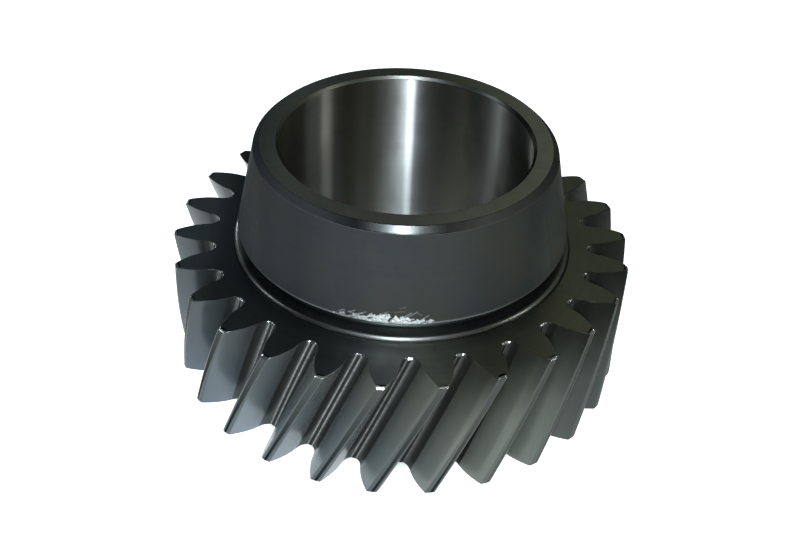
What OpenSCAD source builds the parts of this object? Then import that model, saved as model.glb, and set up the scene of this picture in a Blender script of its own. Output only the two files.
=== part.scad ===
// Helical transmission gear: a toothed rim with a flared hub on one side and a plain
// bore through both. One solid piece of steel. Millimetres, +Z along the bore,
// origin on the axis at the flat back face, hub upwards.

/* [Teeth] */
// Number of teeth
teeth = 26; // [26:1:32]
// Normal module of the teeth
normal_module = 4; // [4:0.05:4.6]
// Helix angle at the pitch circle, right hand
helix_angle = 22.5; // [20:0.5:26]
// Normal pressure angle
pressure_angle = 20; // [19:0.5:21]
// Face width of the toothed rim
face_width = 36; // [32:0.5:44]
// Tooth height above the pitch circle, in modules
addendum_factor = 1.13; // [0.95:0.01:1.15]
// Tooth depth below the pitch circle, in modules
dedendum_factor = 1.5; // [1.35:0.01:1.5]
// Edge radius of the generating rack, which makes the root fillets
rack_edge_r = 0.9; // [0.6:0.05:1.1]
// Metal taken off each flank beyond the nominal tooth, for backlash
flank_allowance = 0.25; // [0.05:0.01:0.3]
// Angle of the middle of the first tooth at the back face
tooth_phase = 2.66; // [0:0.01:13.8]
// Bevel on both ends of the tooth tips
tip_bevel = 0.5; // [0.2:0.05:0.8]

/* [Hub] */
// Height of the hub above the toothed rim
hub_height = 29.7; // [26:0.1:36]
// Radius of the hub just under its top bevel
hub_top_r = 39.1; // [38.5:0.1:40]
// Radius of the hub at its widest, above the neck
hub_wide_r = 43.65; // [43:0.05:44]
// Radial width of the bevel round the top of the hub
hub_bevel_w = 1.5; // [0.8:0.1:2]
// Height of the bevel round the top of the hub
hub_bevel_h = 1.4; // [0.8:0.1:2]
// Height of the hub's widest edge above the rim
hub_edge_z = 4.95; // [4.5:0.05:6]
// Rounding of the hub's widest edge
hub_edge_round = 0.35; // [0.2:0.05:0.6]

/* [Neck and collar] */
// Radius at the bottom of the neck groove under the hub
neck_r = 40; // [39:0.1:41]
// Corner radius inside the neck groove
neck_corner_r = 0.9; // [0.5:0.1:1]
// Height of the raised collar above the rim
collar_h = 1.35; // [1.35:0.05:1.8]
// Outer radius of the raised collar
collar_r = 44.8; // [44.6:0.1:45.5]
// Rounding of the collar's outer edge
collar_round = 1.0; // [0.6:0.05:1]
// Fillet between the collar and the rim
collar_fillet = 0.25; // [0.15:0.05:0.3]

/* [Bore] */
// Bore diameter
bore_d = 65; // [60:0.5:66]
// Radial width of the lead-in at both ends of the bore
lead_w = 0.7; // [0.3:0.1:1]
// Depth of the lead-in at both ends of the bore
lead_h = 0.75; // [0.5:0.05:2]

/* [Hidden] */
bore_r = bore_d / 2;
total_h = face_width + hub_height;
// transverse tooth geometry
at = atan(tan(pressure_angle) / cos(helix_angle));
mt = normal_module / cos(helix_angle);
rp = mt * teeth / 2;
rb = rp * cos(at);
ra = rp + addendum_factor * normal_module;
rf = rp - dedendum_factor * normal_module;
// rack: half width at the pitch line, depth and offset of its edge radius centre
w0 = PI * mt / 4 + flank_allowance / cos(at);
dc = dedendum_factor * normal_module - rack_edge_r;
xc = w0 - dc * tan(at) - rack_edge_r / cos(at);
// twist of the teeth in degrees per millimetre of width
lead_deg = tan(helix_angle) / rp * 180 / PI;
// the gap cutters run past both faces and past the tips
over = 1;
outer_r = ra + 1.4;
fil_n = 5;
inv_n = 4;
slices_n = 5;

function involute(a) = tan(a) * 180 / PI - a;
// angle of the flank from the middle of the gap, at radius r
function gap_half(r) = w0 / rp * 180 / PI + involute(acos(rb / r)) - involute(at);
// fillet point swept by the rack's rounded edge, a = direction of contact
function roll(a) = (dc * tan(a) - xc) / rp * 180 / PI;
function fil_x(a) = (dc / cos(a) + rack_edge_r) * sin(a);
function fil_y(a) = rp - (dc / cos(a) + rack_edge_r) * cos(a);
function fil_r(a) = norm([fil_x(a), fil_y(a)]);
function fil_t(a) = atan2(fil_x(a), fil_y(a)) - roll(a);
a_end = 90 - at;
r_form = fil_r(a_end);
// one side of the gap as [radius, angle], from the floor outwards
side = concat(
    [for (i = [0 : fil_n - 1]) let (a = a_end * i / (fil_n - 1)) [fil_r(a), fil_t(a)]],
    [for (i = [1 : inv_n]) let (r = r_form + (outer_r - r_form) * i / inv_n) [r, gap_half(r)]]);
n_side = len(side);
function polar(p, s) = [p[0] * cos(s * p[1]), p[0] * sin(s * p[1])];
gap_outline = concat(
    [for (i = [0 : n_side - 1]) polar(side[n_side - 1 - i], -1)],
    [for (i = [0 : n_side - 1]) polar(side[i], 1)]);

// points of a quarter round from angle a0 to a1 about c
function arc(c, r, a0, a1, n) =
    [for (i = [0 : n]) let (a = a0 + (a1 - a0) * i / n) [c[0] + r * cos(a), c[1] + r * sin(a)]];

fw = face_width;
edge_z = fw + hub_edge_z;
cone_a = atan((hub_wide_r - hub_top_r) / (total_h - hub_bevel_h - edge_z));
// half section of the blank before it is bored, from the axis round the outside
section = concat(
    [[0, 0], [ra - tip_bevel, 0], [ra, tip_bevel],
     [ra, fw - tip_bevel], [ra - tip_bevel, fw]],
    // fillet from the rim up to the collar, and the collar's rounded edge
    arc([collar_r + collar_fillet, fw + collar_fillet], collar_fillet, 270, 180, 4),
    arc([collar_r - collar_round, fw + collar_h - collar_round], collar_round, 0, 90, 5),
    // neck groove
    arc([neck_r + neck_corner_r, fw + collar_h + neck_corner_r], neck_corner_r, 270, 180, 4),
    arc([neck_r + neck_corner_r, edge_z - neck_corner_r], neck_corner_r, 180, 90, 4),
    // widest edge of the hub, its flared side and the top bevel
    arc([hub_wide_r - hub_edge_round, edge_z + hub_edge_round], hub_edge_round, 270, 360 + cone_a, 4),
    [[hub_top_r, total_h - hub_bevel_h], [hub_top_r - hub_bevel_w, total_h],
     [0, total_h]]);

module blank() {
    rotate_extrude($fn = 180) polygon(section);
}

module bore() {
    translate([0, 0, -over]) cylinder(r = bore_r, h = total_h + 2 * over, $fn = 180);
    // lead-ins at the bottom and the top
    translate([0, 0, -0.01]) cylinder(r1 = bore_r + lead_w + 0.01, r2 = bore_r, h = lead_h, $fn = 180);
    translate([0, 0, total_h - lead_h + 0.01])
        cylinder(r1 = bore_r, r2 = bore_r + lead_w + 0.01, h = lead_h, $fn = 180);
}

module tooth_gap() {
    translate([0, 0, -over])
        linear_extrude(height = fw + 2 * over, twist = -lead_deg * (fw + 2 * over),
                       slices = slices_n, convexity = 4)
            polygon(gap_outline);
}

module helical_gear() {
    color([0.23, 0.24, 0.25])
    difference() {
        blank();
        bore();
        for (i = [0 : teeth - 1])
            rotate([0, 0, tooth_phase + (i + 0.5) * 360 / teeth - lead_deg * over])
                tooth_gap();
    }
}

helical_gear();
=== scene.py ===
import math

import bpy
import numpy as np
from mathutils import Matrix, Vector, noise


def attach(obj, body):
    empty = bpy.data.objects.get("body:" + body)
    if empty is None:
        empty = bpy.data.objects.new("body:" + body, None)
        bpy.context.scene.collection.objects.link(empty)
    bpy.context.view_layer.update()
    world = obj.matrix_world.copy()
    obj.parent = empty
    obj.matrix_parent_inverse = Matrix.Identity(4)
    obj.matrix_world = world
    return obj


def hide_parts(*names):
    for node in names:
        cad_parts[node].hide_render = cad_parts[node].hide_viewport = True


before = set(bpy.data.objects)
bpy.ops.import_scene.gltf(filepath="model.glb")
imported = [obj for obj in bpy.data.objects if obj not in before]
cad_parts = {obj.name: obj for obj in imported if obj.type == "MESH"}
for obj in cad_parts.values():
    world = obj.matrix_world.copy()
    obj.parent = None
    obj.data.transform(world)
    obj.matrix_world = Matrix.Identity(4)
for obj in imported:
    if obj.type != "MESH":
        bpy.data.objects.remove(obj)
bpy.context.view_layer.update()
MM = 0.001

# ------------------------------------------------------------------ camera
scene = bpy.context.scene
scene.view_settings.view_transform = "Standard"
scene.view_settings.look = "None"
DIST, ELEV, ROLL, LENS = 0.3403, 37.927, 2.799, 55.43
AIM = Vector((0.0, 0.0, 0.02202))
e = math.radians(ELEV)
back = Vector((0, -math.cos(e), math.sin(e)))
cam = bpy.data.objects.new("camera", bpy.data.cameras.new("camera"))
scene.collection.objects.link(cam)
zax = back.normalized()
xax = Vector((1, 0, 0))
yax = zax.cross(xax)
r = math.radians(ROLL)
xr = math.cos(r) * xax + math.sin(r) * yax
yr = -math.sin(r) * xax + math.cos(r) * yax
rot = Matrix((xr, yr, zax)).transposed()
cam.matrix_world = Matrix.Translation(AIM + back * DIST) @ rot.to_4x4()
cam.data.lens = LENS
cam.data.sensor_width = 36.0
cam.data.clip_start = 0.01
cam.data.clip_end = 50
scene.camera = cam

# ------------------------------------------------------------------ gear numbers (mm), as in the CAD part
N = 26
MN, BETA, AN = 4.0, math.radians(22.5), math.radians(20.0)
FW, H = 36.0, 65.7
AT = math.atan(math.tan(AN) / math.cos(BETA))
MT = MN / math.cos(BETA)
RP = MT * N / 2
RB = RP * math.cos(AT)
RA, RF = RP + 1.13 * MN, RP - 1.5 * MN
RHO, THIN = 0.9, 0.25
W0 = math.pi * MT / 4 + THIN / math.cos(AT)
DC = 1.5 * MN - RHO
XC = W0 - DC * math.tan(AT) - RHO / math.cos(AT)
PITCH = 2 * math.pi / N
TWIST = math.tan(BETA) / RP          # radians per mm
PHASE = math.radians(2.66)
TIP_BEVEL = 0.5
TIP_ROUND = {"hub side": 0.42, "back side": 1.2}     # the tooth tips are dressed rounder towards the back


def inv(a):
    return math.tan(a) - a


def gap_half(rr):
    return W0 / RP + inv(math.acos(RB / rr)) - inv(AT)


def half_gap(nf, ni, tip_round):
    """[radius, angle from the gap's middle] from the middle of the floor to the middle of the tip land, with a region tag."""
    pts = [(RF, 0.0, "root"), (RF, 0.42 * XC / RP, "root"), (RF, 0.72 * XC / RP, "root")]
    psi_end = math.pi / 2 - AT
    for i in range(nf):
        a = psi_end * i / (nf - 1)
        L = DC / math.cos(a) + RHO
        x, y = L * math.sin(a), RP - L * math.cos(a)
        pts.append((math.hypot(x, y), math.atan2(x, y) - (DC * math.tan(a) - XC) / RP, "root"))
    r_form = pts[-1][0]
    # tip corner: a small round tangent to the flank and the tip circle
    rs = np.linspace(r_form, RA, 3000)
    fa = np.array([gap_half(q) for q in rs])
    P = np.stack([rs * np.cos(fa), rs * np.sin(fa)], 1)
    rc = RA - tip_round
    lo, hi = gap_half(rc), PITCH / 2
    for _ in range(50):
        m = (lo + hi) / 2
        d = np.hypot(P[:, 0] - rc * math.cos(m), P[:, 1] - rc * math.sin(m)).min()
        lo, hi = (m, hi) if d < tip_round else (lo, m)
    c = np.array([rc * math.cos(hi), rc * math.sin(hi)])
    k = int(np.argmin(np.hypot(*(P - c).T)))
    r_t = rs[k]
    for i in range(1, ni + 1):
        q = r_form + (r_t - r_form) * i / ni
        pts.append((q, gap_half(q), "flank"))
    a0 = math.atan2(P[k][1] - c[1], P[k][0] - c[0])
    a1 = hi
    for i in range(1, 5):
        a = a0 + (a1 - a0) * i / 4
        x, y = c[0] + tip_round * math.cos(a), c[1] + tip_round * math.sin(a)
        pts.append((math.hypot(x, y), math.atan2(y, x), "tipround" if i < 4 else "land"))
    pts.append((RA, PITCH / 2, "land"))
    return pts


HG = half_gap(9, 9, TIP_ROUND["hub side"])
HG_BACK = half_gap(9, 9, TIP_ROUND["back side"])
h = len(HG) - 1                      # steps from tooth middle to gap middle
n = 2 * h                            # points per pitch
LOOP = N * n
up = HG[::-1]                        # from the tooth middle down to the gap middle


def whole_loop(half):
    """the outline all round, as radius and angle, from one half gap"""
    lr, la = np.zeros(LOOP), np.zeros(LOOP)
    rev = half[::-1]
    for i in range(N):
        for j in range(h):
            lr[i * n + j] = rev[j][0]
            la[i * n + j] = i * PITCH + PITCH / 2 - rev[j][1]
            lr[i * n + h + j] = half[j][0]
            la[i * n + h + j] = i * PITCH + PITCH / 2 + half[j][1]
    return lr, la


LOOP_HUB, LOOP_BACK = whole_loop(HG), whole_loop(HG_BACK)


def outline(z):
    """radius and angle of the outline at height z; z may differ from point to point"""
    t = np.clip(np.asarray(z, float) / FW, 0, 1)
    t = t * t * (3 - 2 * t)
    return (LOOP_BACK[0] * (1 - t) + LOOP_HUB[0] * t, LOOP_BACK[1] * (1 - t) + LOOP_HUB[1] * t)


# tag of the strip between point k and k+1
half_tags = []
for j in range(h):
    a, b = up[j][2], up[j + 1][2]
    half_tags.append("land" if a == "land" and b == "land" else
                     "flank" if "tipround" in (a, b) else
                     "root" if b == "root" and a == "root" else "flank")
strip_tag = []
for i in range(N):
    strip_tag += half_tags + half_tags[::-1]
# index, from the tooth middle, of the last fillet point before the flat floor
h_floor = h - 3
# painted highlights: the two bright lines that run along each gap, one at each corner of its floor: share by point of
# the half gap
ROOT_HIGHLIGHT = [0.0, 0.0, 0.3, 1.0, 0.3] + [0.0] * 40
# painted shade: the floor between the two lines is darkened
ROOT_SHADE = [1.0, 1.0, 0.6] + [0.0] * 40                  # and the dark strip between them
loop_line, loop_root_shade = np.zeros(LOOP), np.zeros(LOOP)
for i in range(N):
    for j in range(h):
        loop_line[i * n + h + j] = ROOT_HIGHLIGHT[j]
        loop_line[i * n + (h - j)] = ROOT_HIGHLIGHT[j]
        loop_root_shade[i * n + h + j] = ROOT_SHADE[j]
        loop_root_shade[i * n + (h - j)] = ROOT_SHADE[j]
# share of the end chamfer by point: wide at the gap floor, a hair on the flanks
CHAM = [0.8, 0.8, 0.86, 0.80, 0.62, 0.42, 0.25, 0.12, 0.04, 0.0, 0.0] + [0.0] * 40
loop_cham = np.zeros(LOOP)
for i in range(N):
    for j in range(h):
        loop_cham[i * n + h + j] = CHAM[j]
        loop_cham[i * n + (h - j)] = CHAM[j]
# a filed facet across each tooth tip on the hub side, deeper at one corner
TIP_FACET = [0.85, 0.95, 1.0, 1.0, 0.8, 0.5, 0.2]
TIP_FACET_L = [0.85, 0.78, 0.66, 0.52, 0.34, 0.15]
loop_facet = np.zeros(LOOP)
# share by point for a painted shade over the tip rounds of the flanks
loop_tip_shade = np.zeros(LOOP)
for i in range(N):
    for j, q in enumerate(TIP_FACET):
        loop_facet[i * n + j] = q
    for j, q in enumerate(TIP_FACET_L):
        loop_facet[(i * n - j) % LOOP] = q
    for j in range(h + 1):
        q = {"land": 1.0, "tipround": 0.8}.get(up[j][2], 0.0)
        loop_tip_shade[i * n + j] = q
        loop_tip_shade[(i * n - j) % LOOP] = q


def fade(a, b, x):
    t = min(1.0, max(0.0, (x - a) / (b - a)))
    return t * t * (3 - 2 * t)


verts, faces, mats = [], [], []
burr = {}
MAT = {"face": 0, "cone": 1, "top": 2, "bevel": 3, "bore": 4, "flank": 5, "root": 6, "land": 7, "edge": 8, "neck": 9, "collar": 10,
       "foot": 11, "lip": 12}


def add(face, mat):
    faces.append(face)
    mats.append(MAT[mat])


# ------------------------------------------------------------------ toothed rim
rng = np.random.RandomState(11)
ends = {}


def edge_width(end):
    """hand-deburred edge: its width wanders a little along the outline, and it is widest at the gap floors"""
    w = np.zeros(LOOP)
    lr, la = (LOOP_BACK, LOOP_HUB)[end]
    for k in range(LOOP):
        p = Vector((lr[k] * math.cos(la[k]), lr[k] * math.sin(la[k]), 40.0 * end))
        w[k] = 0.10 + 0.04 * noise.noise(p * 0.33) + loop_cham[k] * (0.62 + 0.3 * noise.noise(p * 0.12))
        w[k] += end * loop_facet[k] * (0.55 + 0.5 * noise.noise(p * 0.07 + Vector((5, 2, 0))))
    return np.clip(w, 0.08, 0.85)


EW = {0: edge_width(0), 1: edge_width(1)}


def ring_at(z):
    """the outline at height z, which may differ from point to point"""
    z = np.zeros(LOOP) + z
    rr, la = outline(z)
    ang = la + PHASE + TWIST * z
    return np.stack([rr * np.cos(ang), rr * np.sin(ang), z], 1)


layers = []
ARC = [90, 66, 45, 22, 0]
for a in ARC:                                   # back face edge
    # between a round and a flat 45 degree facet
    s = 0.45 * (1 - math.cos(math.radians(a))) + 0.55 * a / 90
    layers.append(("end", 0, math.radians(a), s))
main_z = list(np.linspace(1.2, FW - 1.2, 14))
rings = []
for kind, end, a, s in layers:
    # height above the back face follows the local edge width
    zz = EW[0] * (0.45 * (1 - math.sin(a)) + 0.55 * (1 - math.degrees(a) / 90))
    lr, la = outline(zz)
    rr = np.minimum(lr, RA - np.maximum(0, TIP_BEVEL - zz) * 0.95)
    ang = la + PHASE + TWIST * zz
    P = np.stack([rr * np.cos(ang), rr * np.sin(ang)], 1)
    T = np.roll(P, -1, 0) - np.roll(P, 1, 0)
    T /= np.linalg.norm(T, axis=1)[:, None]
    P = P - np.stack([T[:, 1], -T[:, 0]], 1) * (EW[0] * s)[:, None]
    rings.append(np.hstack([P, zz[:, None]]))
rings.append(ring_at(np.maximum(TIP_BEVEL, EW[0] + 0.03)))
for z in main_z:
    rings.append(ring_at(z))
rings.append(ring_at(FW - np.maximum(TIP_BEVEL, EW[1] + 0.03)))
for a in ARC[::-1]:
    s = 0.45 * (1 - math.cos(math.radians(a))) + 0.55 * a / 90
    d = EW[1] * (0.45 * (1 - math.sin(math.radians(a))) + 0.55 * (1 - a / 90))
    zz = FW - d
    lr, la = outline(zz)
    rr = np.minimum(lr, RA - np.maximum(0, TIP_BEVEL - d) * 0.95)
    ang = la + PHASE + TWIST * zz
    P = np.stack([rr * np.cos(ang), rr * np.sin(ang)], 1)
    T = np.roll(P, -1, 0) - np.roll(P, 1, 0)
    T /= np.linalg.norm(T, axis=1)[:, None]
    P = P - np.stack([T[:, 1], -T[:, 0]], 1) * (EW[1] * s)[:, None]
    rings.append(np.hstack([P, zz[:, None]]))

for R in rings:
    verts.extend(R.tolist())
NR = len(rings)
for L in range(NR - 1):
    end_strip = L < len(ARC) - 1 or L >= NR - len(ARC)
    for k in range(LOOP):
        k2 = (k + 1) % LOOP
        tg = strip_tag[k]
        near_k = max(loop_cham[k], loop_cham[k2], min(loop_facet[k], loop_facet[k2]) * (L > NR // 2))
        mat = "edge" if end_strip and near_k > 0.3 else tg
        add((L * LOOP + k, L * LOOP + k2, (L + 1) * LOOP + k2, (L + 1) * LOOP + k), mat)

# ------------------------------------------------------------------ hub, collar and bore
P5r = 43.726


def rounded(points):
    """polyline with rounded corners: (r, z, radius, steps, tag of the stretch that follows)"""
    out = []
    for i, (x, z, rad, st, tg) in enumerate(points):
        p = np.array([x, z])
        if i in (0, len(points) - 1) or rad == 0:
            out.append((x, z, tg))
            continue
        a = np.array(points[i - 1][:2]) - p
        b = np.array(points[i + 1][:2]) - p
        a /= np.linalg.norm(a)
        b /= np.linalg.norm(b)
        half = math.acos(max(-1, min(1, float(a @ b)))) / 2
        t = rad / math.tan(half)
        c = p + (a + b) / np.linalg.norm(a + b) * (rad / math.sin(half))
        s, f = p + a * t, p + b * t
        a0 = math.atan2(*(s - c)[::-1])
        a1 = math.atan2(*(f - c)[::-1])
        while a1 - a0 > math.pi:
            a1 -= 2 * math.pi
        while a1 - a0 < -math.pi:
            a1 += 2 * math.pi
        prev = points[i - 1][4]
        for k in range(st + 1):
            q = a0 + (a1 - a0) * k / st
            out.append((c[0] + rad * math.cos(q), c[1] + rad * math.sin(q), tg if k == st else ("round:" + prev + ":" + tg)))
    return out


PROFILE = rounded([
    (46.2, 36.0, 0, 0, "face"),
    (44.8, 36.0, 0.26, 3, "collar"),
    (44.8, 37.35, 1.05, 10, "collar"),
    (40.0, 37.35, 0.9, 5, "neck"),
    (40.0, 40.95, 0.9, 5, "neck"),
    (P5r, 40.95, 0.33, 6, "cone"),
    (39.1, 64.3, 0.8, 5, "bevel"),
    (37.6, 65.7, 0.45, 4, "top"),
    (33.2, 65.7, 0.16, 3, "lip"),
    (32.5, 64.96, 0.25, 3, "bore"),
    (32.5, 0.74, 0.25, 3, "lip"),
    (33.2, 0.0, 0.16, 3, "face"),
    (34.4, 0.0, 0, 0, "face"),
])
# rows added along the long stretches
prof = []
for i, (x, z, tg) in enumerate(PROFILE):
    prof.append((x, z, tg))
    if i + 1 < len(PROFILE):
        x2, z2, _ = PROFILE[i + 1]
        ln = math.hypot(x2 - x, z2 - z)
        if tg == "cone" and ln > 5:
            zs = [z + 0.125 * k for k in range(1, 25)] + [z + 3.0 + 0.22 * k for k in range(1, 8)]
            zs += [q for q in np.linspace(zs[-1], z2, 8)[1:-1]]
            for q in zs:
                t = (q - z) / (z2 - z)
                prof.append((x + (x2 - x) * t, q, tg))
        elif tg == "bore" and ln > 5:
            for q in np.linspace(z, z2, 8)[1:-1]:
                prof.append((x, q, tg))
        elif ln > 2.0:
            for t in (0.06, 0.5, 0.94):
                prof.append((x + (x2 - x) * t, z + (z2 - z) * t, tg))
# tags of the rows between points
row_tag = []
for i in range(len(prof) - 1):
    tg = prof[i][2]
    if tg.startswith("round:"):
        _, a, b = tg.split(":")
        pair = (a, b)
        tg = ("bevel" if "bevel" in pair else "lip" if "lip" in pair else "cone" if pair == ("neck", "cone") else
              "neck" if "neck" in pair and "face" not in pair else "face" if pair[0] == "face" else b)
    if 44.7 < prof[i][0] < 45.3 and prof[i][1] < 36.33:
        tg = "foot"
    row_tag.append(tg)

# angles round the hub: evenly spaced, finer along the scraped stretch of the hub's lower edge
B0, B1 = 246.0, 286.0
base = np.arange(0, 360, 360 / 320)
fine = np.arange(B0, B1, 0.165)
angs = np.sort(np.concatenate([base[(base < B0 - 0.3) | (base > B1 + 0.3)], fine]))
M = len(angs)
rad = np.radians(angs)

# the scraped stretch of the hub's lower edge: height of the torn band, mm, by angle from the front
band_a = [-23, -21.5, -20.6, -19.6, -18.6, -17, -15.2, -14, -12.5, -9, -6, -3, 0, 3, 6, 7.5, 9, 10.5, 12, 13.5]
band_h = [0.0, 0.3, 0.8, 0.45, 1.2, 1.5, 1.6, 1.3, 1.45, 1.8, 2.1, 2.2, 2.05, 1.8, 1.4, 1.4, 1.15, 1.1, 0.7, 0.0]
# how solid the bare metal is there: torn open at the left, separate teeth at the right
solid_a = [-23, -18.6, -15.5, -13.5, -10, 5, 8, 13.5]
solid_v = [0.15, 0.0, 0.1, 0.4, 0.65, 0.6, 0.2, 0.05]
# single scratches above the band: two ends as (mm round the hub, mm above the edge), half width, strength
SCRATCH = [((1.5, 2.0), (3.2, 3.1), 0.11, 0.28), ((2.6, 2.1), (4.7, 3.4), 0.10, 0.22), ((4.5, 3.3), (5.8, 2.3), 0.10, 0.12),
           ((-0.8, 3.1), (1.6, 3.5), 0.10, 0.08), ((0.4, 4.3), (2.0, 4.6), 0.10, 0.08), ((-3.6, 2.7), (-2.4, 3.1), 0.11, 0.14),
           ((6.0, 1.5), (7.4, 2.3), 0.12, 0.24), ((-9.4, 1.8), (-7.8, 2.4), 0.11, 0.22), ((-14.6, 1.3), (-13.2, 1.9), 0.11, 0.22),
           ((-12.2, 1.5), (-10.6, 2.3), 0.11, 0.26), ((-11.0, 1.2), (-8.6, 1.9), 0.12, 0.34), ((-14.2, 0.7), (-11.6, 1.2), 0.12, 0.36)]
# painted highlight: the lip of the hub is made bright to both sides of the scraped stretch
# how bright the bare metal is along the stretch
glow_a = [-23, -14, -9, -6, 5, 9, 13.5]
glow_v = [0.5, 0.56, 0.9, 1.0, 1.0, 0.82, 0.7]
lip_highlight_a = [-62, -40, -24, -14, 8, 14, 24, 40, 62]
lip_highlight_v = [0.0, 0.12, 0.26, 0.34, 0.34, 0.30, 0.22, 0.10, 0.0]
GOUGES = [((-2.2, 0.75), (-1.2, 1.85), 0.24), ((3.3, 0.9), (4.3, 1.3), 0.16), ((-7.2, 0.9), (-6.2, 1.2), 0.15),
          ((-12.8, 0.8), (-11.4, 1.1), 0.22)]
EDGE_Z = 40.95


def seg_dist(px, py, a, b):
    vx, vy = b[0] - a[0], b[1] - a[1]
    t = min(1.0, max(0.0, ((px - a[0]) * vx + (py - a[1]) * vy) / (vx * vx + vy * vy)))
    return math.hypot(px - a[0] - t * vx, py - a[1] - t * vy)


burr_of, gouge_of = [], []
first_hub = len(verts)
for i, (x, z, tg) in enumerate(prof):
    near = 40.9 < z < 46.2 and x > 42.4
    for m in range(M):
        a = rad[m]
        rr, zz, bm, gm = x, z, 0.0, 0.0
        # painted highlight along the lip of the hub; bare metal on the lip under the scraped stretch
        if 40.9 < z < 42.0 and x > 43.0:
            bm = float(np.interp(angs[m] - 270, lip_highlight_a, lip_highlight_v)) * fade(0.75, 0.15, z - EDGE_Z)
            bm = max(bm, 0.8 * float(np.interp(angs[m] - 270, [-15, -9, 6, 12], [0, 1, 1, 0])) * fade(0.5, 0.1, z - EDGE_Z))
        if near and B0 + 0.2 < angs[m] < B1 - 0.2:
            front = angs[m] - 270
            s = math.radians(front) * 43.7
            up_z = z - EDGE_Z
            hgt = float(np.interp(front, band_a, band_h))
            if hgt > 0.01:
                # ragged upper limit: long smears with short torn teeth on them
                rag = hgt * (1 + 0.28 * noise.noise(Vector((s * 0.55, 3.1, 0))) + 0.34 * noise.noise(Vector((s * 1.7, 9.4, 1.0)))
                             + 0.16 * noise.noise(Vector((s * 4.0, 2.4, 5.0))))
                inside = fade(rag + 0.16, rag - 0.12, up_z)
                # smears lean along the edge, with bare patches between
                lean = Vector((s * 0.9 - up_z * 0.5, up_z * 1.9, 0.0))
                tear = noise.noise(lean * 0.8 + Vector((7, 1, 0))) + 0.55 * noise.noise(lean * 2.1) + 0.3 * noise.noise(Vector((s * 3.1, up_z * 4.0, 8)))
                sol = float(np.interp(front, solid_a, solid_v))
                rim = fade(0.42, 0.05, up_z)          # the lip itself stays bright
                keep = fade(-0.14, 0.10, tear + sol + 0.5 * rim - 0.14)
                shade = 0.66 + 0.5 * noise.noise(lean * 1.9 + Vector((3, 8, 2))) + 0.62 * noise.noise(lean * 5.2)
                bm = max(bm, inside * keep * min(1.0, max(0.22, shade)) * float(np.interp(front, glow_a, glow_v)))
                amp = min(1.0, hgt / 1.2)
                lump = 0.13 * noise.noise(lean * 1.3 + Vector((1, 5, 2))) + 0.13 * noise.noise(lean * 3.1) + 0.07 * noise.noise(Vector((s * 5.0, up_z * 5.0, 3)))
                rr += inside * amp * (lump + 0.10 * keep - 0.08)
                zz += inside * amp * (0.06 * noise.noise(Vector((s * 1.1, 1.7, 4))) + 0.05 * noise.noise(Vector((s * 3.5, 8.2, 2)))) * fade(0.9, 0.0, up_z)
            for a1, b1, wd, st in SCRATCH:
                dd = seg_dist(s, up_z, a1, b1)
                if dd < 0.5:
                    k = math.exp(-(dd / wd) ** 2)
                    bm = max(bm, k * st)
                    rr -= 0.035 * k
            for a1, b1, wd in GOUGES:
                dd = seg_dist(s, up_z, a1, b1)
                if dd < 0.9:
                    k = math.exp(-(dd / wd) ** 2)
                    gm = max(gm, k)
                    bm *= 1 - 0.9 * k
                    rr -= 0.22 * k
        verts.append([rr * math.cos(a), rr * math.sin(a), zz])
        burr_of.append(bm)
        gouge_of.append(gm)
for i in range(len(prof) - 1):
    for m in range(M):
        m2 = (m + 1) % M
        A = first_hub + i * M
        B = A + M
        add((A + m, A + m2, B + m2, B + m), row_tag[i])

# ------------------------------------------------------------------ end faces
def close_end(ring_start, hub_start, flip, z_ang):
    """planar faces from the outline (teeth as ladders) in to a hub ring"""
    def put(f):
        add(tuple(f[::-1]) if flip else tuple(f), "face")
    for i in range(N):
        c = i * n
        for k in range(h_floor):
            a1 = ring_start + (c + k) % LOOP
            a2 = ring_start + (c + k + 1) % LOOP
            b1 = ring_start + (c - k) % LOOP
            b2 = ring_start + (c - k - 1) % LOOP
            put([a1, a2, b2] if k == 0 else [a1, a2, b2, b1])
    # hub ring indices nearest to the gap middles
    near = []
    for i in range(N):
        g = math.degrees((i + 0.5) * PITCH + PHASE + TWIST * z_ang) % 360
        near.append(int(np.argmin(np.abs((angs - g + 180) % 360 - 180))))
    for i in range(N):
        c = i * n
        left = near[i - 1]
        right = near[i]
        outer = [ring_start + (c + q) % LOOP for q in (-h, 1 - h, 2 - h, -h_floor, h_floor, h - 2, h - 1, h)]
        inner = []
        m = right
        while True:
            inner.append(hub_start + m)
            if m == left:
                break
            m = (m - 1) % M
        # clockwise/anticlockwise: outer runs with the angle, inner against it
        poly = outer + inner
        put(poly[::-1])


close_end((NR - 1) * LOOP, first_hub, True, FW)
close_end(0, first_hub + (len(prof) - 1) * M, False, 0.0)

# ------------------------------------------------------------------ mesh
me = bpy.data.meshes.new("helical_gear_finish")
V = np.array(verts) * MM
me.from_pydata(V.tolist(), [], faces)
me.polygons.foreach_set("material_index", np.array(mats, np.int32))
me.polygons.foreach_set("use_smooth", np.ones(len(faces), bool))
for key, start, got in (("burr", first_hub, burr_of), ("gouge", first_hub, gouge_of), ("line", 0, list(loop_line) * NR), ("tip", 0, list(loop_tip_shade) * NR),
                        ("root_shade", 0, list(loop_root_shade) * NR)):
    vals = np.zeros(len(verts), np.float32)
    vals[start:start + len(got)] = got
    me.attributes.new(key, "FLOAT", "POINT").data.foreach_set("value", vals)
me.update()
gear = bpy.data.objects.new("gear_finish", me)
scene.collection.objects.link(gear)

import bmesh
bm = bmesh.new()
bm.from_mesh(me)
bmesh.ops.recalc_face_normals(bm, faces=bm.faces)
bm.to_mesh(me)
print("OPEN EDGES", sum(1 for ed in bm.edges if len(ed.link_faces) != 2), "VOLUME mm3", round(bm.calc_volume() * 1e9, 1),
      "TRIS", sum(len(f.verts) - 2 for f in bm.faces))
bm.free()

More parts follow.
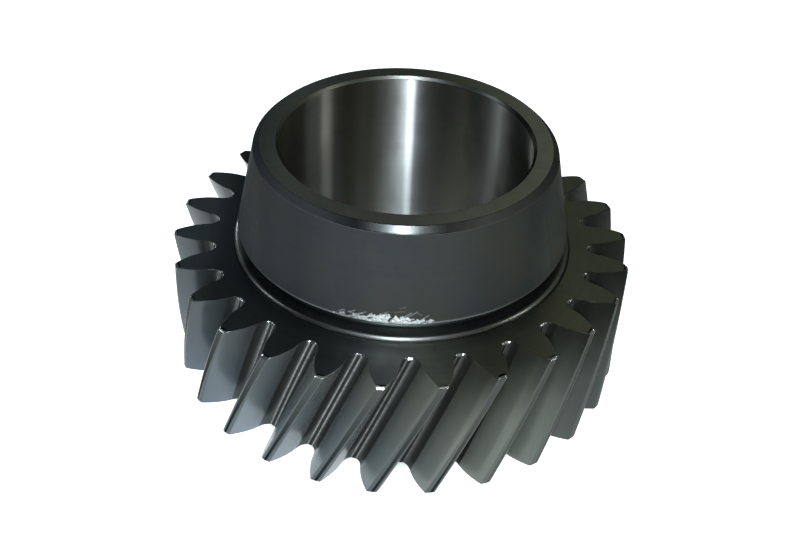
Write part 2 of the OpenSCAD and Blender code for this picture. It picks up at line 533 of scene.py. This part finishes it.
# vertex normals weighted by face area, so the flats stay flat beside their small edge rounds
area = np.zeros(len(me.polygons))
me.polygons.foreach_get("area", area)
nrm = np.zeros(len(me.polygons) * 3)
me.polygons.foreach_get("normal", nrm)
nrm = nrm.reshape(-1, 3)
lv = np.zeros(len(me.loops), np.int32)
me.loops.foreach_get("vertex_index", lv)
tot = np.zeros(len(me.polygons), np.int32)
me.polygons.foreach_get("loop_total", tot)
pf = np.repeat(np.arange(len(tot)), tot)
acc = np.zeros((len(verts), 3))
np.add.at(acc, lv, nrm[pf] * area[pf][:, None])
acc /= np.maximum(np.linalg.norm(acc, axis=1), 1e-20)[:, None]
me.normals_split_custom_set_from_vertices(acc.tolist())


# ------------------------------------------------------------------ materials
class Mat:
    def __init__(self, name):
        self.m = bpy.data.materials.new(name)
        self.m.use_nodes = True
        self.t = self.m.node_tree
        self.t.nodes.clear()
        self.out = self.t.nodes.new("ShaderNodeOutputMaterial")
        self.b = self.t.nodes.new("ShaderNodeBsdfPrincipled")
        self.t.links.new(self.b.outputs[0], self.out.inputs[0])
        self.b.inputs["Metallic"].default_value = 1.0

    def node(self, kind, **kw):
        nd = self.t.nodes.new(kind)
        for k, v in kw.items():
            setattr(nd, k, v)
        return nd

    def link(self, a, b):
        self.t.links.new(a, b)

    def math(self, op, a, b=None, c=None, clamp=False):
        nd = self.node("ShaderNodeMath", operation=op, use_clamp=clamp)
        for i, v in enumerate((a, b, c)):
            if v is None:
                continue
            if isinstance(v, (int, float)):
                nd.inputs[i].default_value = v
            else:
                self.link(v, nd.inputs[i])
        return nd.outputs[0]

    def coords(self):
        tc = self.node("ShaderNodeTexCoord")
        sp = self.node("ShaderNodeSeparateXYZ")
        self.link(tc.outputs["Object"], sp.inputs[0])
        x, y, z = sp.outputs
        rr = self.math("SQRT", self.math("ADD", self.math("MULTIPLY", x, x), self.math("MULTIPLY", y, y)))
        an = self.math("ARCTAN2", y, x)
        return tc.outputs["Object"], x, y, z, rr, an

    def noise(self, vec=None, w=None, scale=100.0, detail=2.0, rough=0.5, dims="3D"):
        nd = self.node("ShaderNodeTexNoise", noise_dimensions=dims)
        nd.inputs["Scale"].default_value = scale
        nd.inputs["Detail"].default_value = detail
        nd.inputs["Roughness"].default_value = rough
        if vec is not None:
            self.link(vec, nd.inputs["Vector"])
        if w is not None:
            self.link(w, nd.inputs["W"])
        return nd.outputs["Fac"]

    def ramp(self, fac, stops, how="LINEAR"):
        nd = self.node("ShaderNodeValToRGB")
        nd.color_ramp.interpolation = how
        el = nd.color_ramp.elements
        while len(el) < len(stops):
            el.new(0.5)
        for s, (p, c) in zip(el, stops):
            s.position = p
            s.color = (c, c, c, 1) if isinstance(c, (int, float)) else (*c, 1)
        self.link(fac, nd.inputs[0])
        return nd.outputs[0]

    def mix(self, fac, a, b):
        nd = self.node("ShaderNodeMix", data_type="RGBA")
        for sock, v in ((nd.inputs[0], fac), (nd.inputs[6], a), (nd.inputs[7], b)):
            if isinstance(v, (int, float)):
                sock.default_value = v
            elif isinstance(v, tuple):
                sock.default_value = (*v, 1)
            else:
                self.link(v, sock)
        return nd.outputs[2]

    def maprange(self, v, a, b, c, d):
        nd = self.node("ShaderNodeMapRange")
        self.link(v, nd.inputs[0])
        for i, q in enumerate((a, b, c, d)):
            nd.inputs[i + 1].default_value = q
        return nd.outputs[0]

    def combine(self, x, y, z):
        nd = self.node("ShaderNodeCombineXYZ")
        for i, v in enumerate((x, y, z)):
            if isinstance(v, (int, float)):
                nd.inputs[i].default_value = v
            else:
                self.link(v, nd.inputs[i])
        return nd.outputs[0]

    def bump(self, height, strength, distance, normal=None):
        nd = self.node("ShaderNodeBump")
        nd.inputs["Strength"].default_value = strength
        nd.inputs["Distance"].default_value = distance
        self.link(height, nd.inputs["Height"])
        if normal is not None:
            self.link(normal, nd.inputs["Normal"])
        return nd.outputs[0]

    def sided(self, col, x, stops, lo=-0.06, hi=0.06):
        """fixed tint across the part, fitted to the photo's tones, light and stain alike; stops are (place between lo and hi, tint)"""
        nd = self.node("ShaderNodeMix", data_type="RGBA", blend_type="MULTIPLY")
        nd.inputs[0].default_value = 1.0
        self.link(col, nd.inputs[6])
        self.link(self.ramp(self.maprange(x, lo, hi, 0.0, 1.0), [((q - lo) / (hi - lo), t) for q, t in stops], "EASE"), nd.inputs[7])
        return nd.outputs[2]

    def grooved(self, amount):
        """lathe or grinding marks running round the axis: highlights spread across them"""
        tg = self.node("ShaderNodeTangent", direction_type="RADIAL", axis="Z")
        self.link(tg.outputs[0], self.b.inputs["Tangent"])
        self.b.inputs["Anisotropic"].default_value = amount
        self.b.inputs["Anisotropic Rotation"].default_value = 0.25


def turned(name, col_a, col_b, rough, aniso, along, fine=5500.0, strength=0.12, tint=None, cloud=0.04, rings=0.03, side=None, metallic=1.0, wall=None):
    """turned or ground round surface; along = 'r' for faces, 'z' for walls"""
    m = Mat(name)
    ob, x, y, z, rr, an = m.coords()
    axis = rr if along == "r" else z
    big = m.noise(ob, scale=42.0, detail=3.0, rough=0.55)
    mid = m.noise(ob, scale=260.0, detail=3.0, rough=0.6)
    streak = m.noise(w=axis, scale=fine, detail=2.0, dims="1D")
    band = m.noise(w=axis, scale=fine * 0.12, detail=2.0, dims="1D")
    col = m.mix(m.maprange(big, 0.3, 0.7, 0.0, 1.0), col_a, col_b)
    if tint:
        col = m.mix(m.math("MULTIPLY", m.maprange(mid, 0.42, 0.78, 0.0, 1.0), 0.55), col, tint)
    # single tool rings, a little lighter or darker than the rest
    ring = m.maprange(band, 0.35, 0.65, 1.0 - rings, 1.0 + rings)
    sc = m.node("ShaderNodeVectorMath", operation="SCALE")
    m.link(col, sc.inputs[0])
    m.link(ring, sc.inputs["Scale"])
    col = sc.outputs[0]
    if side:
        col = m.sided(col, x, side)
    if wall:
        # by angle round the axis, in degrees
        col = m.sided(col, m.math("MULTIPLY", an, 180 / math.pi), wall, -180.0, 180.0)
    m.link(col, m.b.inputs["Base Color"])
    m.b.inputs["Metallic"].default_value = metallic
    m.b.inputs["Specular Tint"].default_value = (0.25, 0.25, 0.25, 1)
    if metallic < 1:
        m.b.inputs["Specular IOR Level"].default_value = 0.0
    ro = m.math("ADD", m.maprange(big, 0.25, 0.75, rough - cloud, rough + cloud),
                m.maprange(mid, 0.3, 0.7, -cloud * 0.6, cloud * 0.6))
    m.link(ro, m.b.inputs["Roughness"])
    nb = m.bump(m.math("ADD", streak, m.math("MULTIPLY", band, 0.8)), strength, 0.00002)
    m.link(nb, m.b.inputs["Normal"])
    m.grooved(aniso)
    return m


# painted light and shade across the face: darker and bluer to the left, lighter and warmer to the right
SIDE = ((-0.053, (0.86, 0.98, 1.10)), (-0.045, (0.45, 0.52, 0.60)), (-0.022, (0.64, 0.70, 0.74)), (-0.004, (1.02, 1.06, 1.07)),
        (0.018, (1.32, 1.34, 1.18)), (0.035, (1.18, 1.18, 0.97)), (0.052, (1.36, 1.36, 1.15)))
face = turned("turned_face", (0.172, 0.186, 0.190), (0.205, 0.212, 0.200), 0.33, 0.6, "r", tint=(0.155, 0.158, 0.140), rings=0.03, side=SIDE)
# painted light and shade on the hub side: lighter at its far left and right edges, darker a little inside them
cone = turned("hub_side", (0.0335, 0.039, 0.0425), (0.0465, 0.0465, 0.0415), 0.42, 0.30, "z", tint=(0.045, 0.045, 0.040), rings=0.02, metallic=0.4,
              side=((-0.043, (1.36, 1.38, 1.46)), (-0.039, (1.16, 1.18, 1.24)), (-0.032, (0.80, 0.81, 0.84)), (-0.025, (0.68, 0.69, 0.71)),
                    (-0.015, (0.86, 0.87, 0.89)),
                    (-0.004, (0.97, 0.97, 0.97)), (0.01, (0.95, 0.96, 0.92)), (0.024, (0.72, 0.73, 0.69)), (0.031, (0.70, 0.71, 0.67)),
                    (0.038, (1.10, 1.13, 1.06)), (0.043, (1.26, 1.30, 1.22))))
# painted light and shade on the hub top: darker to the left and at the far side, lighter to the right
top = turned("hub_top", (0.32, 0.335, 0.335), (0.37, 0.375, 0.355), 0.27, 0.3, "r", tint=(0.25, 0.25, 0.225), rings=0.03,
             side=((-0.04, (0.64, 0.70, 0.74)), (-0.026, (1.02, 1.08, 1.12)), (-0.01, (0.98, 1.0, 1.0)), (0.035, (1.42, 1.44, 1.30))),
             wall=((-180, (1.0, 1.0, 1.0)), (30, (1.0, 1.0, 1.0)), (80, (0.68, 0.68, 0.68)), (110, (0.66, 0.66, 0.66)), (150, (1.0, 1.0, 1.0))))
# painted highlight on the top bevel: brightest in the middle, darker to both sides
bevel = turned("hub_bevel", (0.070, 0.076, 0.078), (0.084, 0.088, 0.089), 0.27, 0.2, "r",
               side=((-0.038, (0.66, 0.67, 0.70)), (-0.026, (0.78, 0.79, 0.80)), (-0.016, (0.92, 0.92, 0.93)), (-0.008, (1.05, 1.05, 1.05)),
                     (0.001, (1.22, 1.23, 1.22)), (0.010, (0.96, 0.96, 0.93)), (0.018, (0.86, 0.86, 0.81)), (0.027, (0.74, 0.74, 0.68)),
                     (0.038, (0.66, 0.67, 0.62))))
# matt to both sides, so that the side lamps leave no glint there that the photo hasn't
bx = bevel.math("ABSOLUTE", bevel.coords()[1], 0.0)
was = bevel.b.inputs["Roughness"].links[0].from_socket
bevel.link(bevel.math("ADD", was, bevel.maprange(bx, 0.011, 0.023, 0.0, 0.36)), bevel.b.inputs["Roughness"])
# tints by angle round the bore, fitted to the photo's bright bands; they stand for its light, nothing is known of the metal
WALL = ((10, (1.1, 1.1, 1.1)), (30, (1.4, 1.4, 1.4)), (37, (1.0, 1.0, 1.0)), (40.5, (1.35, 1.35, 1.35)),
        (43, (1.35, 1.35, 1.35)), (47, (1.15, 1.15, 1.15)), (62, (1.4, 1.35, 1.24)), (76, (1, 0.98, 0.93)),
        (85.3, (0.88, 0.91, 0.98)), (87.7, (2.2, 2.31, 2.48)), (88.7, (2.2, 2.31, 2.48)), (91.0, (1.15, 1.19, 1.27)),
        (99, (1.9, 1.94, 1.98)), (110, (1.0, 0.98, 0.92)), (120, (0.62, 0.6, 0.55)), (128, (0.7, 0.7, 0.7)),
        (131.5, (1.4, 1.41, 1.43)), (134, (1.4, 1.41, 1.43)), (138, (0.8, 0.8, 0.8)), (160, (0.95, 0.95, 0.95)))
bore = turned("ground_bore", (0.262, 0.262, 0.246), (0.312, 0.314, 0.298), 0.36, 1.0, "z", strength=0.04, cloud=0.03, rings=0.015, wall=WALL)
neck = turned("neck_groove", (0.075, 0.098, 0.098), (0.095, 0.115, 0.112), 0.42, 0.3, "z")
# painted shade: the bore lead-ins are much darker on the right
lip = turned("bore_lead_in", (0.13, 0.136, 0.132), (0.16, 0.165, 0.158), 0.33, 0.2, "r",
             side=((-0.03, (0.9, 0.9, 0.9)), (-0.02, (1.0, 1.0, 1.0)), (0.016, (1.0, 1.0, 1.0)), (0.031, (0.22, 0.22, 0.21))))
# painted shade: the foot of the collar is near black
foot = turned("collar_foot", (0.024, 0.028, 0.028), (0.030, 0.033, 0.031), 0.45, 0.3, "z")
# painted highlight on the collar edge at its far left, painted shade a little inside it
collar = turned("collar_edge", (0.16, 0.172, 0.176), (0.19, 0.20, 0.192), 0.32, 0.3, "r",
                side=((-0.0445, (3.2, 3.1, 3.0)), (-0.042, (1.9, 1.85, 1.8)), (-0.0385, (0.75, 0.75, 0.75)), (-0.028, (0.68, 0.68, 0.68)),
                      (-0.014, (1.0, 1.0, 1.0))))


def blend_in(m, key, colour, rough_up, amount=1.0, detail=None):
    """lay another colour over a material where a vertex value says so"""
    at = m.node("ShaderNodeAttribute", attribute_name=key)
    f = m.math("MULTIPLY", at.outputs["Fac"], amount)
    if detail is not None:
        ob = m.node("ShaderNodeTexCoord").outputs["Object"]
        f = m.math("MULTIPLY", f, m.maprange(m.noise(ob, scale=detail, detail=3.0, rough=0.7), 0.35, 0.6, 0.35, 1.0))
    old = m.b.inputs["Base Color"].links[0].from_socket
    m.link(m.mix(f, old, colour), m.b.inputs["Base Color"])
    oldr = m.b.inputs["Roughness"].links[0].from_socket
    m.link(m.math("ADD", oldr, m.math("MULTIPLY", f, rough_up)), m.b.inputs["Roughness"])


# the scraped stretch of the hub's edge: bare torn metal, with a few dark gouges in it, and the painted highlight along
# the lip
blend_in(cone, "burr", (0.76, 0.79, 0.80), 0.04)
blend_in(cone, "gouge", (0.02, 0.022, 0.022), 0.2)


def tooth_mat(name, col_a, col_b, rough, strength, cloud=0.03, mid_bump=0.004, root_depth_shade=None, metallic=1.0, foot=None, side=None, level=0.5,
              crown_shade=None, span=(-0.015, 0.02)):
    """surfaces that run along the helix: marks follow the tooth"""
    m = Mat(name)
    ob, x, y, z, rr, an = m.coords()
    hel = m.math("SUBTRACT", an, m.math("MULTIPLY", z, TWIST * 1000))
    vec = m.combine(m.math("MULTIPLY", rr, 1.0), m.math("MULTIPLY", hel, 0.056), m.math("MULTIPLY", z, 0.03))
    lines = m.noise(vec, scale=2600.0, detail=2.0)
    big = m.noise(ob, scale=55.0, detail=3.0, rough=0.6)
    mid = m.noise(ob, scale=420.0, detail=3.0, rough=0.6)
    col = m.mix(m.maprange(big, 0.3, 0.7, 0.0, 1.0), col_a, col_b)
    if root_depth_shade:
        # painted shade: the flank is darker towards its root, down in the gap
        sc = m.node("ShaderNodeVectorMath", operation="SCALE")
        m.link(col, sc.inputs[0])
        m.link(m.maprange(m.math("ADD", rr, m.math("MULTIPLY", m.math("SUBTRACT", big, 0.5), 0.0015)), 0.0526, 0.0572, root_depth_shade, 1.0), sc.inputs["Scale"])
        col = sc.outputs[0]
    if foot:
        # painted light and shade towards the back face: a painted reflection on the flanks, painted shade on the tip
        # lands; it may differ from side to side
        if isinstance(foot[0], tuple):
            foot = m.mix(m.maprange(x, span[0], span[1], 0.0, 1.0), *foot)
        col = m.mix(m.maprange(z, 0.002, 0.036, 0.0, 1.0), foot, col)
    if crown_shade:
        # painted shade: darker near the hub-side face on one side of the part, as in the photo
        near = m.math("MULTIPLY", m.maprange(m.math("ADD", z, m.math("MULTIPLY", m.math("SUBTRACT", big, 0.5), 0.012)), 0.017, 0.034, 0.0, 1.0),
                      m.maprange(x, 0.004, 0.022, 0.0, 1.0))
        col = m.mix(near, col, crown_shade)
    if side:
        col = m.sided(col, x, side)
    m.link(col, m.b.inputs["Base Color"])
    m.b.inputs["Metallic"].default_value = metallic
    m.b.inputs["Specular IOR Level"].default_value = level
    m.b.inputs["Specular Tint"].default_value = (0.4, 0.4, 0.4, 1)
    m.link(m.math("ADD", m.maprange(big, 0.25, 0.75, rough - cloud, rough + cloud),
                  m.maprange(mid, 0.3, 0.7, -0.015, 0.015)), m.b.inputs["Roughness"])
    nb = m.bump(lines, strength, 0.00003)
    nb = m.bump(mid, mid_bump, 0.00004, nb)
    m.link(nb, m.b.inputs["Normal"])
    return m


# painted light and shade on the flanks: darker to both far sides, a lighter bluer painted reflection towards the back
# face, painted shade near the hub-side face on the right
flank = tooth_mat("ground_flank", (0.108, 0.113, 0.104), (0.124, 0.129, 0.116), 0.24, 0.004, root_depth_shade=0.66, metallic=0.38, level=0.2, mid_bump=0.0,
                  foot=((0.150, 0.173, 0.188), (0.142, 0.153, 0.150)), crown_shade=(0.032, 0.034, 0.029),
                  side=((-0.055, (0.36, 0.42, 0.48)), (-0.036, (0.94, 1.0, 1.06)), (0.015, (1.05, 1.04, 0.97)), (0.032, (0.92, 0.94, 0.87)),
                        (0.05, (0.43, 0.44, 0.43))))
# painted shade: the gap floors darken towards the right side of the part
root = tooth_mat("hobbed_root", (0.046, 0.052, 0.050), (0.058, 0.062, 0.057), 0.32, 0.05, metallic=0.5, level=0.2,
                 side=((0.0, (1.0, 1.0, 1.0)), (0.024, (0.42, 0.41, 0.36)), (0.05, (0.32, 0.31, 0.27))))
# painted shade: the tip lands darken towards the back face, except on the right side
land = tooth_mat("tooth_tip", (0.052, 0.057, 0.054), (0.059, 0.063, 0.058), 0.34, 0.03, metallic=0.6, level=0.0,
                 foot=((0.010, 0.014, 0.016), (0.066, 0.072, 0.068)), span=(0.012, 0.024))
edge = tooth_mat("deburred_edge", (0.30, 0.32, 0.325), (0.38, 0.40, 0.39), 0.26, 0.0, mid_bump=0.0)
# painted shade on the root floor between the two lines
blend_in(root, "root_shade", (0.014, 0.015, 0.014), 0.05)
# painted highlight along the two root lines, brighter to the left
rx = root.coords()[1]
blend_in(root, "line", root.mix(root.maprange(rx, -0.016, 0.004, 0.0, 1.0), (0.34, 0.36, 0.35), (0.16, 0.17, 0.165)), 0.0, 0.8, 900.0)
# painted shade over the tip rounds of the flanks, darker to the left
tx = flank.coords()[1]
blend_in(flank, "tip", flank.mix(flank.maprange(tx, 0.004, 0.024, 0.0, 1.0), (0.036, 0.042, 0.043), (0.072, 0.077, 0.071)), 0.0, 0.9)
for m in (face, cone, top, bevel, bore, flank, root, land, edge, neck, collar, foot, lip):
    me.materials.append(m.m)

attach(gear, "root")
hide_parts("helical_gear")

# ------------------------------------------------------------------ stage and light
floor_me = bpy.data.meshes.new("floor")
fr = 3.0
floor_me.from_pydata([(-fr, -fr, -0.00002), (fr, -fr, -0.00002), (fr, fr, -0.00002), (-fr, fr, -0.00002)], [], [(0, 1, 2, 3)])
floor = bpy.data.objects.new("floor", floor_me)
scene.collection.objects.link(floor)
fm = bpy.data.materials.new("pale_floor")
fm.use_nodes = True
ft = fm.node_tree
fb = ft.nodes["Principled BSDF"]
fb.inputs["Base Color"].default_value = (0.86, 0.87, 0.88, 1)
fb.inputs["Roughness"].default_value = 0.9
fb.inputs["Specular IOR Level"].default_value = 0.1
fb.inputs["Emission Color"].default_value = (0.95, 0.985, 1.0, 1)
# the table glows by itself: a painted pool of light round the object, fading outwards, and a painted shadow where the
# gear covers it
ftc = ft.nodes.new("ShaderNodeTexCoord")
flen = ft.nodes.new("ShaderNodeVectorMath")
flen.operation = "LENGTH"
ft.links.new(ftc.outputs["Object"], flen.inputs[0])
curve = ft.nodes.new("ShaderNodeFloatCurve")
fsc = ft.nodes.new("ShaderNodeMath")
fsc.operation = "MULTIPLY"
fsc.inputs[1].default_value = 1.0
ft.links.new(flen.outputs["Value"], fsc.inputs[0])
ft.links.new(fsc.outputs[0], curve.inputs["Value"])
cv = curve.mapping.curves[0]
GLOW = [(0.0, 0.0), (0.046, 0.0), (0.0555, 0.95), (0.30, 1.0), (0.50, 0.62), (1.0, 0.30)]
cv.points[0].location = GLOW[0]
cv.points[1].location = GLOW[-1]
for pt in GLOW[1:-1]:
    cv.points.new(*pt)
for q in cv.points:
    q.handle_type = "VECTOR"
curve.mapping.update()
fsp = ft.nodes.new("ShaderNodeSeparateXYZ")
ft.links.new(ftc.outputs["Object"], fsp.inputs[0])
fmr = ft.nodes.new("ShaderNodeMapRange")
fmr.interpolation_type = "SMOOTHSTEP"
for i, q in enumerate((-0.09, 0.05, 1.4, 1.0)):
    fmr.inputs[i + 1].default_value = q
ft.links.new(fsp.outputs[0], fmr.inputs[0])
fmu = ft.nodes.new("ShaderNodeMath")
fmu.operation = "MULTIPLY"
ft.links.new(curve.outputs[0], fmu.inputs[0])
ft.links.new(fmr.outputs[0], fmu.inputs[1])
# camera rays see an evenly pale table, all other rays the fading glow above
fnear = ft.nodes.new("ShaderNodeMapRange")
fnear.interpolation_type = "SMOOTHSTEP"
for i, q in enumerate((0.046, 0.0555, 0.0, 1.06)):
    fnear.inputs[i + 1].default_value = q
ft.links.new(flen.outputs["Value"], fnear.inputs[0])
flp = ft.nodes.new("ShaderNodeLightPath")
fpick = ft.nodes.new("ShaderNodeMix")
ft.links.new(flp.outputs["Is Camera Ray"], fpick.inputs[0])
ft.links.new(fmu.outputs[0], fpick.inputs[2])
ft.links.new(fnear.outputs[0], fpick.inputs[3])
ft.links.new(fpick.outputs[0], fb.inputs["Emission Strength"])
floor_me.materials.append(fm)


def softbox(name, az, el, dist, w, hh, power, color=(1, 1, 1), aim=(0, 0, 0.04)):
    ld = bpy.data.lights.new(name, "AREA")
    ld.shape = "RECTANGLE"
    ld.size, ld.size_y = w, hh
    ld.energy = power
    ld.color = color
    o = bpy.data.objects.new(name, ld)
    scene.collection.objects.link(o)
    a, q = math.radians(az), math.radians(el)
    d = Vector((math.sin(a) * math.cos(q), -math.cos(a) * math.cos(q), math.sin(q)))
    o.location = Vector(aim) + d * dist
    o.rotation_euler = d.to_track_quat("Z", "Y").to_euler()
    return o


COOL = (0.88, 0.96, 1.0)
WARM = (1.0, 0.97, 0.88)
softbox("key", 0, 56, 0.9, 0.06, 0.40, 5.0, COOL)
softbox("low", 0, 27, 0.9, 0.03, 0.20, 3.4, COOL)
softbox("left", -93, 30, 1.0, 0.06, 0.5, 1.1, COOL)
softbox("behind", -146, 15, 1.0, 0.10, 0.15, 0.6, COOL)
softbox("right", 83, 30, 1.0, 0.06, 0.5, 1.1, WARM)

# surroundings: dim, a little lighter and greener to the right
w = bpy.data.worlds.new("studio")
scene.world = w
w.use_nodes = True
wt = w.node_tree
bg = wt.nodes["Background"]
wtc = wt.nodes.new("ShaderNodeTexCoord")
wsp = wt.nodes.new("ShaderNodeSeparateXYZ")
wt.links.new(wtc.outputs["Generated"], wsp.inputs[0])
wm = wt.nodes.new("ShaderNodeMapRange")
wm.interpolation_type = "SMOOTHSTEP"
for i, q in enumerate((-0.7, 0.8, 0.0, 1.0)):
    wm.inputs[i + 1].default_value = q
wt.links.new(wsp.outputs[0], wm.inputs[0])
wx = wt.nodes.new("ShaderNodeMix")
wx.data_type = "RGBA"
wx.inputs[6].default_value = (0.045, 0.054, 0.060, 1)
wx.inputs[7].default_value = (0.175, 0.180, 0.140, 1)
wt.links.new(wm.outputs[0], wx.inputs[0])
# camera rays see a white backdrop, all other rays the dim one above
wlp = wt.nodes.new("ShaderNodeLightPath")
wpale = wt.nodes.new("ShaderNodeMix")
wpale.data_type = "RGBA"
wpale.inputs[7].default_value = (1.0, 1.0, 1.0, 1)
wt.links.new(wlp.outputs["Is Camera Ray"], wpale.inputs[0])
wt.links.new(wx.outputs[2], wpale.inputs[6])
wt.links.new(wpale.outputs[2], bg.inputs[0])
bg.inputs[1].default_value = 1.0

# ------------------------------------------------------------------ finish
bpy.context.view_layer.update()
